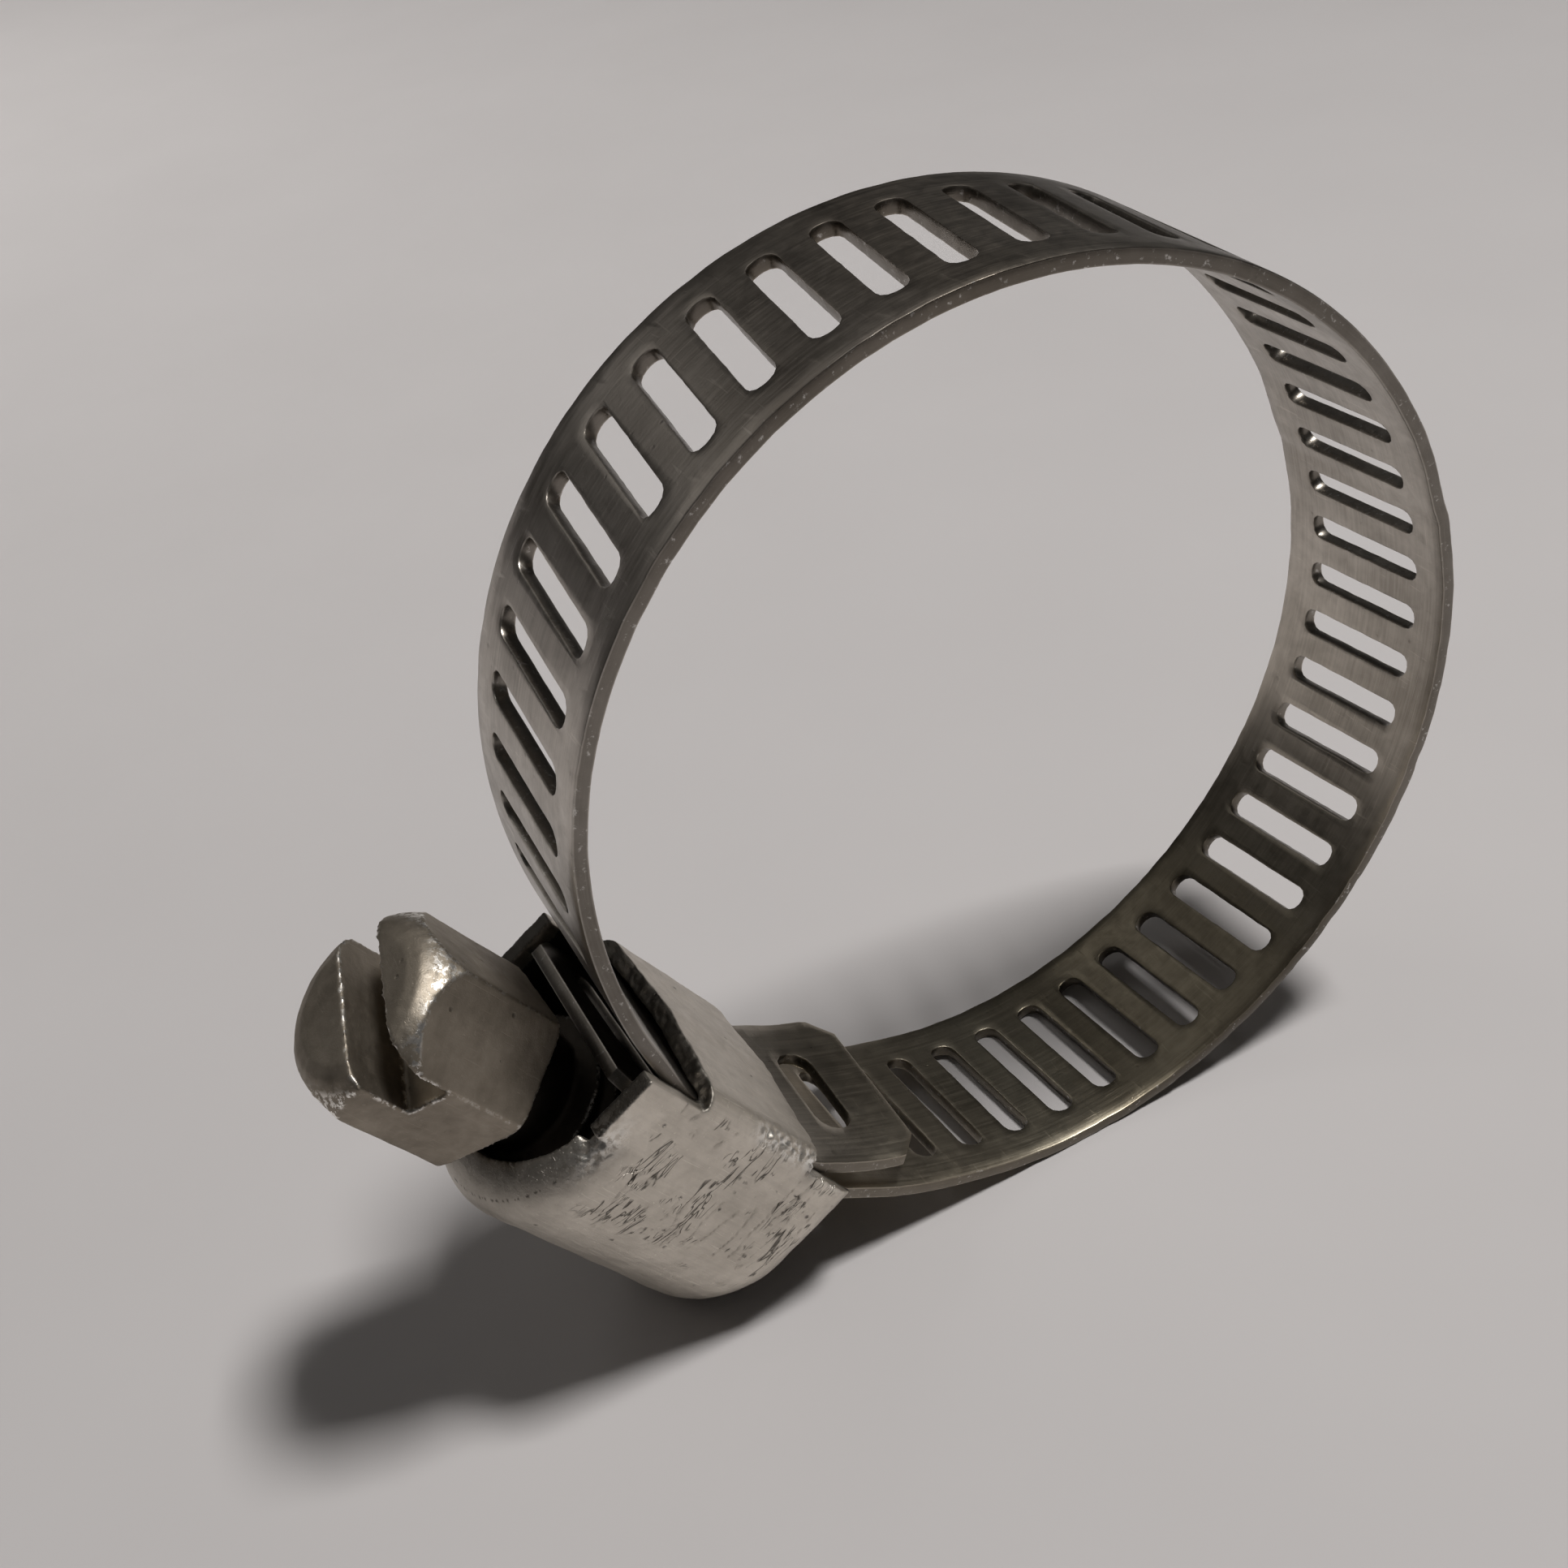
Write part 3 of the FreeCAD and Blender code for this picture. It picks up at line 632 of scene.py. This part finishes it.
# marks on the near wall, cut a little way into it
wall = np.clip((-4.25 - lc[:, 1]) / 0.3, 0, 1) * np.clip((lc[:, 0] + 3.6) / 1.0, 0, 1) * np.clip((7.2 - lc[:, 0]) / 1.2, 0, 1) * np.clip((lc[:, 2] + 21.8) / 1.2, 0, 1) * np.clip((-15.2 - lc[:, 2]) / 0.3, 0, 1)
g = vnoise(lc * [1.25, 0.4, 0.36], 1.0, 3.0) + 0.25 * vnoise(lc * [2.2, 0.6, 0.6], 1.5, 8.0)
cut = np.clip(1 - np.abs(g) / 0.06, 0, 1) * np.clip((vnoise(lc, 0.45, 12.0) - 0.02) / 0.06, 0, 1)
co = co - nr * (0.07 * cut * wall)[:, None]
# the fold lines are raised a little and painted bright through the edge colour: partly worn metal, partly painted
# highlight
fold = np.exp(-((np.abs(lc[:, 1]) - 4.5)**2 + (lc[:, 2] + 15.05)**2) / 0.34**2) * np.clip((lc[:, 0] - 0.2) / 0.8, 0, 1) * np.clip((6.4 - lc[:, 0]) / 0.8, 0, 1)
fold = fold + np.exp(-((lc[:, 0] + 4.4)**2 / 0.5**2 + (lc[:, 1] + 4.6)**2 / 0.5**2 + (lc[:, 2] + 18.3)**2 / 1.1**2))
co = co + nr * (0.15 * fold * vnoise(lc, 4.2, 5.0))[:, None]
tear = np.exp(-((lc[:, 0] - 4.05)**2 + (lc[:, 1] + 4.5)**2 + (lc[:, 2] + 15.3)**2) / 0.38**2)
co = co - nr * (0.12 * tear * (0.6 + 0.8 * vnoise(lc, 3.0, 9.0)))[:, None]
inner_face = (np.abs(lc[:, 1]) < 4.25) & (lc[:, 2] < -15.2) & (np.hypot(lc[:, 1], np.minimum(lc[:, 2] + 18.9, 0)) < 4.3)
# painted shade in the dark attribute: the tab end faces turned towards the head, the nose under the head, the inside of
# the shell and the torn dent
dark = np.clip((-local(nr)[:, 0] - 0.4) / 0.3, 0, 1) * (lc[:, 2] > -17.95) * (lc[:, 0] < -1.5) + 0.42 * np.clip((-2.9 - lc[:, 0]) / 1.5, 0, 1) * (lc[:, 2] <= -17.7) + 0.8 * inner_face * (lc[:, 0] > -4.3)
dark = dark + 0.9 * tear
for nm, arr_ in (("fold", fold), ("dark", np.clip(dark, 0, 1)), ("wrinkle", wall)):
    at_ = house.data.attributes.new(nm, "FLOAT", "POINT")
    at_.data.foreach_set("value", np.clip(arr_, 0, 1).astype(np.float32))
finish_soft(house, co, curv, 0.10, 0.28)
house.data.materials.append(house_mat)

screw, co, nr, ed, curv = soften("worm_screw", "screw_body", VOX, 2)
lc = local(co)
head = lc[:, 0] < -6.0
amp = (0.02 * vnoise(lc, 0.8, 1.0) + 0.008 * vnoise(lc, 3.0, 3.0)) * head
co = co + nr * amp[:, None]
# a broken burr where the nose cone of the head meets its flats, painted bright: partly worn metal, partly painted glint
ln = local(nr)
cone = -ln[:, 0]
burr_and_glint = np.clip((np.exp(-((cone - 0.42) / 0.26)**2) - 0.15) / 0.85, 0, 1) * (lc[:, 0] < -8.2)
co = co + nr * (0.07 * burr_and_glint * np.clip(vnoise(lc, 2.6, 7.0) + 0.1, 0, 1))[:, None]
at_ = screw.data.attributes.new("burr_and_glint", "FLOAT", "POINT")
at_.data.foreach_set("value", np.clip(burr_and_glint, 0, 1).astype(np.float32))
# painted shade in the dark attribute: the neck and worm behind the head, inside the housing, are darkened
neck = np.clip((lc[:, 0] + 6.25) / 0.25, 0, 1)
at_ = screw.data.attributes.new("dark", "FLOAT", "POINT")
at_.data.foreach_set("value", neck.astype(np.float32))
finish_soft(screw, co, curv, 0.05, 0.16)
screw.data.materials.append(screw_mat)

cut_top = (11.8115 + 14.0515) / 2
free_near = sorted(v for v in slots if v > -FREE)[:2]
cut_low = sum(free_near) / 2
band_a = build_strip("band_fixed", cut_top, S_MAX)
band_b = build_strip("band_loop", cut_low, cut_top)
band_c = build_strip("band_end", S_MIN, cut_low)
for b in (band_a, band_b, band_c):
    b.data.materials.append(band_mat)

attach(house, "clamp_body"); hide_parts("housing")
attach(screw, "screw"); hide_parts("worm_screw")
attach(band_a, "clamp_body"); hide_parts("band_fixed_half")
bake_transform(band_b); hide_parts("band_free_half")
bx, bz = world(BEND_X, TAIL_Z)
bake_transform(band_c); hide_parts("band_tail")

# ------------------------------------------------------------------ floor, light, camera
floor_z = cad_box[0][2]
bm = bmesh.new()
bmesh.ops.create_grid(bm, x_segments=2, y_segments=2, size=0.8)
me = bpy.data.meshes.new("floor"); bm.to_mesh(me); bm.free()
floor = bpy.data.objects.new("floor", me)
floor.location = (0, 0, floor_z - 0.00001)
bpy.context.scene.collection.objects.link(floor)
m, nt, bsdf = nodes_of("floor_paper")
tc = N(nt, "ShaderNodeTexCoord")
tn = N(nt, "ShaderNodeTexNoise"); tn.inputs["Scale"].default_value = 60.0; tn.inputs["Detail"].default_value = 5
nt.links.new(tc.outputs["Object"], tn.inputs["Vector"])
nt.links.new(mix(nt, tn.outputs["Fac"], (0.60, 0.575, 0.57), (0.64, 0.615, 0.61)), bsdf.inputs["Base Color"])
bsdf.inputs["Roughness"].default_value = 0.75
floor.data.materials.append(m)

# camera: world to camera (x right, y down, z forward), in millimetres
F_PX = 2166.2
rv = np.array([2.195128666187755, -0.7937539344818578, -0.26717953953181084])
th = np.linalg.norm(rv); k = rv / th
K = np.array([[0, -k[2], k[1]], [k[2], 0, -k[0]], [-k[1], k[0], 0]])
M = np.eye(3) + math.sin(th) * K + (1 - math.cos(th)) * K @ K
ca, sa = math.cos(math.radians(79.0 - TILT)), math.sin(math.radians(79.0 - TILT))
R = np.array([[ca, 0, sa], [0, 1, 0], [-sa, 0, ca]])
MR = M @ R
tt = np.array([7.207898253485937, -2.016337246332066, 60.4387467383958]) * (8.0 / 8.071855357875219)
loc = -MR.T @ tt
cam_data = bpy.data.cameras.new("camera")
cam = bpy.data.objects.new("camera", cam_data)
bpy.context.scene.collection.objects.link(cam)
mw = np.eye(4)
mw[:3, 0] = MR[0]; mw[:3, 1] = -MR[1]; mw[:3, 2] = -MR[2]; mw[:3, 3] = loc * MM
cam.matrix_world = Matrix(mw.tolist())
cam_data.sensor_fit = "HORIZONTAL"
cam_data.sensor_width = 36.0
cam_data.lens = F_PX * 36.0 / 1932.0
cam_data.clip_start = 0.001
cam_data.clip_end = 10
bpy.context.scene.camera = cam
print("camera at", loc, "right", MR[0], "up", -MR[1], "view", MR[2])

right, up, back = Vector(MR[0]), Vector(-MR[1]), Vector(-MR[2])


def lamp(name, pos, size, power, color=(1, 1, 1), target=(0, 0, -0.004), size_y=None, spread=None):
    d = bpy.data.lights.new(name, "AREA")
    d.shape = "RECTANGLE"
    d.size = size
    d.size_y = size_y or size
    d.energy = power
    d.color = color
    if spread:
        d.spread = math.radians(spread)
    o = bpy.data.objects.new(name, d)
    o.location = pos
    o.rotation_euler = (Vector(target) - Vector(pos)).to_track_quat("-Z", "Y").to_euler()
    bpy.context.scene.collection.objects.link(o)
    return o


# key nearly overhead, a little to the right, small enough for a shadow with a narrow soft edge
rh = Vector((right.x, right.y, 0)).normalized()
fh = Vector((-back.x, -back.y, 0)).normalized()
lamp("key", Vector((0.12, -0.04, 0.38)), 0.07, 1.26, (1.0, 0.985, 0.97))
lamp("fill", Vector((-0.16, 0.22, 0.26)), 0.22, 0.05, (1.0, 0.97, 0.93))
lamp("back", Vector((-0.07, 0.22, 0.25)), 0.1, 0.075, (1.0, 0.98, 0.96), target=(-0.07, 0.2201, -0.018), spread=80)

w = bpy.data.worlds.new("world") if not bpy.context.scene.world else bpy.context.scene.world
bpy.context.scene.world = w
w.use_nodes = True
wn = w.node_tree
wn.nodes.clear()
wo = wn.nodes.new("ShaderNodeOutputWorld")
wb = wn.nodes.new("ShaderNodeBackground")
wb.inputs[1].default_value = 0.053
tc = wn.nodes.new("ShaderNodeTexCoord")
sx = wn.nodes.new("ShaderNodeSeparateXYZ")
wn.links.new(tc.outputs["Generated"], sx.inputs[0])
cr = wn.nodes.new("ShaderNodeValToRGB")
els = cr.color_ramp.elements
els[0].position = 0.0; els[0].color = (0.30, 0.28, 0.26, 1)
els[1].position = 0.75; els[1].color = (1.0, 0.98, 0.97, 1)
wn.links.new(sx.outputs[2], cr.inputs[0])
wn.links.new(cr.outputs[0], wb.inputs[0])
wn.links.new(wb.outputs[0], wo.inputs[0])

bpy.context.scene.view_settings.view_transform = "Standard"
